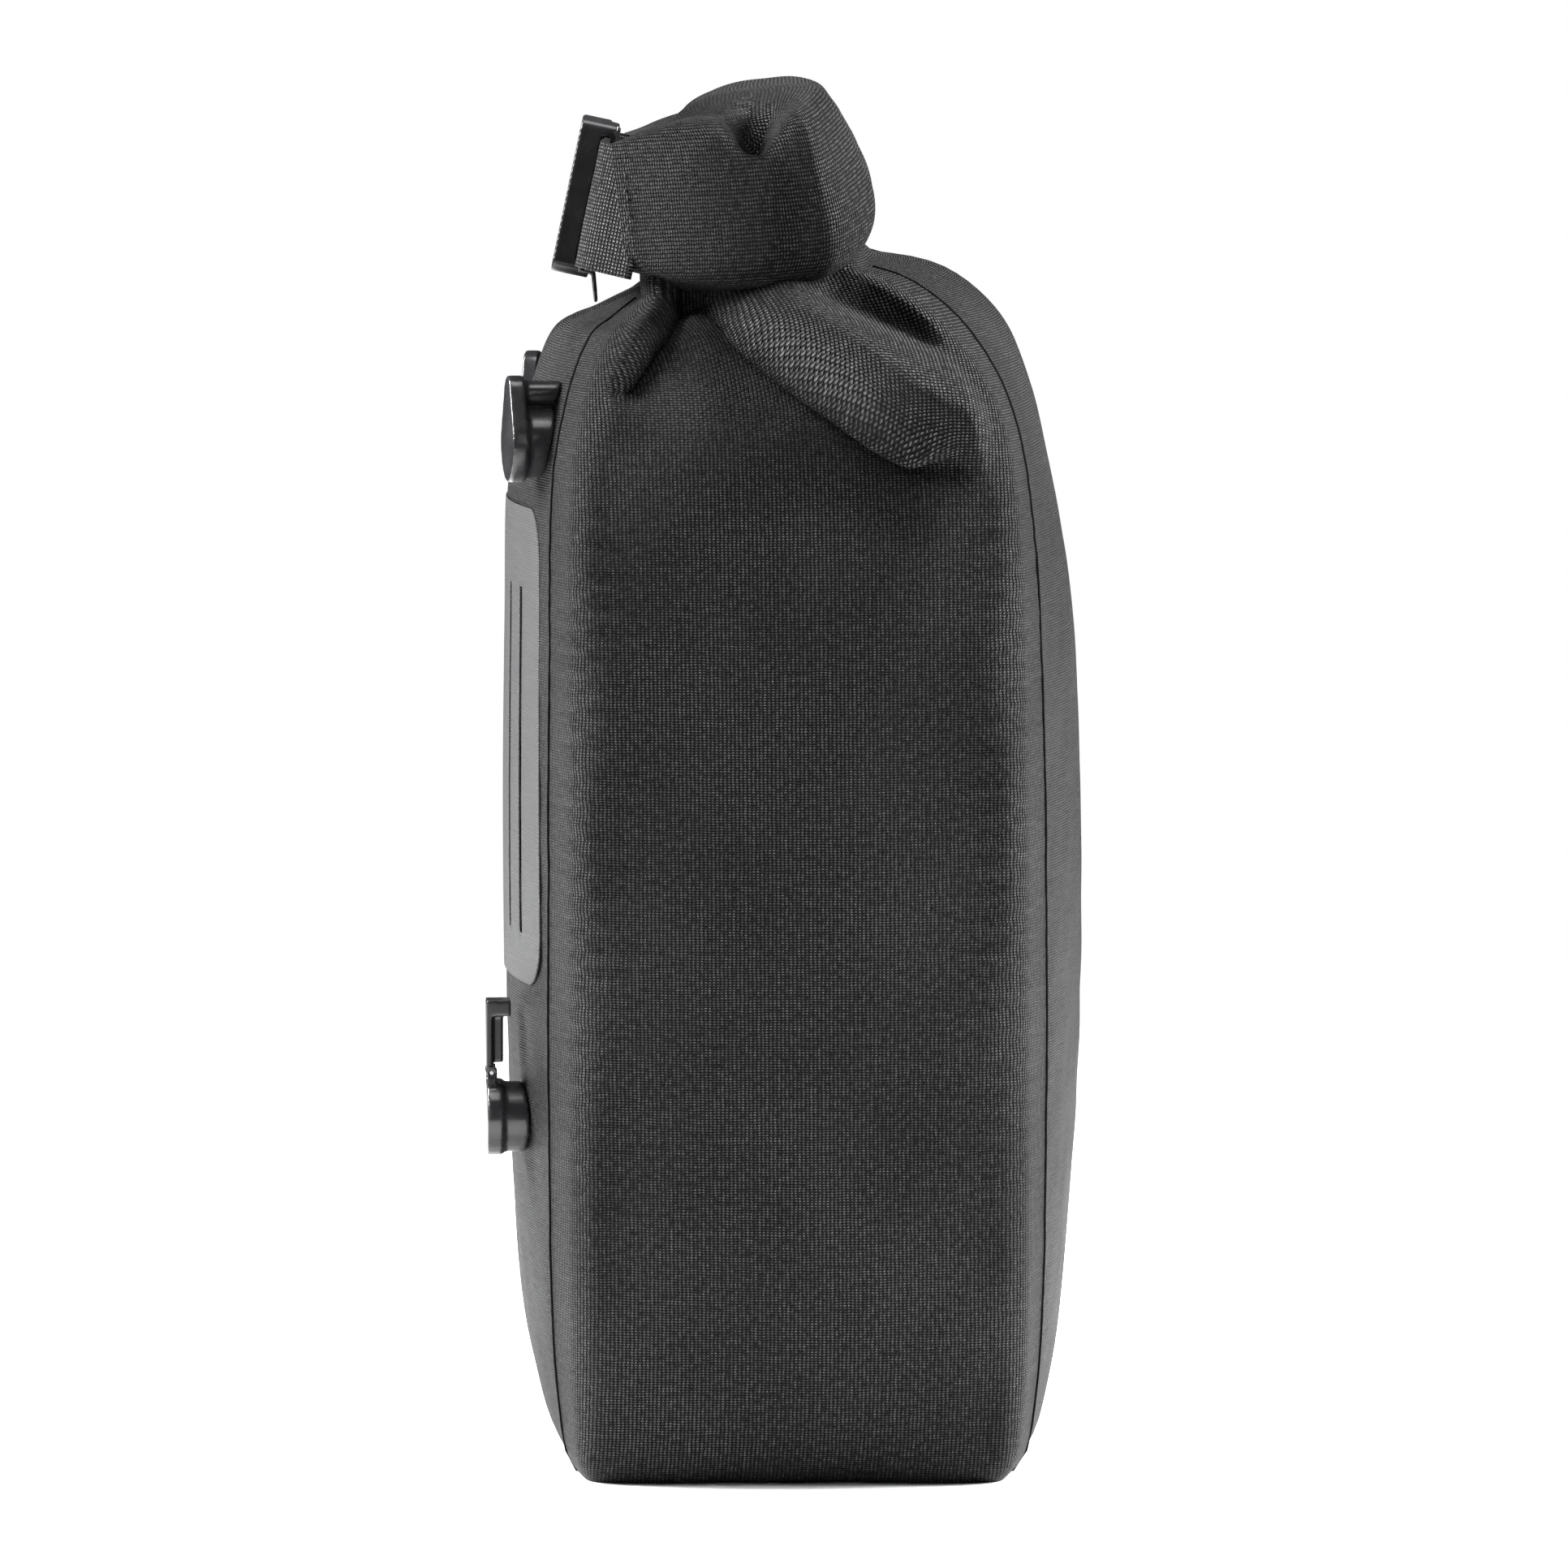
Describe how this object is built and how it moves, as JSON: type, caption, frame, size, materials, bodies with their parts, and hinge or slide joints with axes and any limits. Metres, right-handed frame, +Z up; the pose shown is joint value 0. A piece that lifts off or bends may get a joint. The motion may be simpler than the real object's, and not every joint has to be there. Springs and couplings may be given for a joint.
{
  "type": "pannier bag",
  "caption": "Roll-top pannier bag for a bicycle rack: a fabric body with a rolled and buckled mouth, and round pegs with a lock lever on its back.",
  "frame": {"origin": "on the ground, under the middle of the bag's box", "axes": "+Z up, +X away from the bicycle, -X towards the rack, Y along the bicycle"},
  "size_m": [0.1835, 0.314, 0.4205],
  "materials": {
    "coated_fabric": "coarse plain weave in near-black yarn with grey flecks, coated inside",
    "webbing": "fine ribbed webbing, matte",
    "moulded_plastic": "satin moulded, lightly scuffed",
    "stiffener_sheet": "fine-textured sheet",
    "rubber_print": "matte rubber print over the weave",
    "steel": "bright zinc"
  },
  "bodies": {
    "bag": {"front_panel": "coated_fabric", "rear_panel": "coated_fabric", "side_gusset_left": "coated_fabric", "side_gusset_right": "coated_fabric", "bottom_panel": "coated_fabric", "back_stiffener": "stiffener_sheet", "rear_wear_patch": "rubber_print", "upper_peg_left": "moulded_plastic", "upper_peg_right": "moulded_plastic", "lower_peg": "moulded_plastic", "upper_peg_left_plate": "steel", "upper_peg_right_plate": "steel", "lower_peg_plate": "steel", "upper_peg_left_screw": "steel", "upper_peg_left_lobe_screw": "steel", "upper_peg_right_screw": "steel", "upper_peg_right_lobe_screw": "steel", "lower_peg_screw": "steel", "lock_lever_pin": "steel"},
    "roll_top": {"roll_core": "coated_fabric", "mouth_slat": "stiffener_sheet", "roll_wing_left": "coated_fabric", "roll_wing_right": "coated_fabric", "closure_strap_left": "webbing", "closure_strap_right": "webbing", "buckle_socket": "moulded_plastic", "strap_slider": "moulded_plastic", "strap_tag": "moulded_plastic"},
    "buckle_plug": {"buckle_plug": "moulded_plastic"},
    "prong_upper": {"buckle_prong_upper": "moulded_plastic"},
    "prong_lower": {"buckle_prong_lower": "moulded_plastic"},
    "lock_lever": {"lock_lever": "moulded_plastic"}
  },
  "joints": [
    {"name": "roll_open", "type": "hinge", "parent": "bag", "child": "roll_top", "pos_m": [0.0275, 0, 0.3728], "axis": [0, 1, 0], "range_deg": [0, 95]},
    {"name": "plug_release", "type": "slide", "parent": "roll_top", "child": "buckle_plug", "axis": [0, -1, 0], "range_m": [0, 0.028]},
    {"name": "prong_upper_flex", "type": "hinge", "parent": "buckle_plug", "child": "prong_upper", "pos_m": [-0.06024, -0.022, 0.39509], "axis": [0.9781, 0, -0.2079], "range_deg": [-18.5, 0]},
    {"name": "prong_lower_flex", "type": "hinge", "parent": "buckle_plug", "child": "prong_lower", "pos_m": [-0.06439, -0.022, 0.37553], "axis": [0.9781, 0, -0.2079], "range_deg": [0, 18.5]},
    {"name": "lever_pull", "type": "hinge", "parent": "bag", "child": "lock_lever", "pos_m": [-0.08928, -0.06271, 0.12], "axis": [0.0698, -0.9976, 0], "range_deg": [0, 20], "stiffness_Nm_per_rad": 0.03, "springref_deg": -5.73}
  ],
  "couplings": [
    {"joint": "prong_upper_flex", "follows": "plug_release", "rad_per_m": -11.161},
    {"joint": "prong_lower_flex", "follows": "plug_release", "rad_per_m": 11.161}
  ]
}
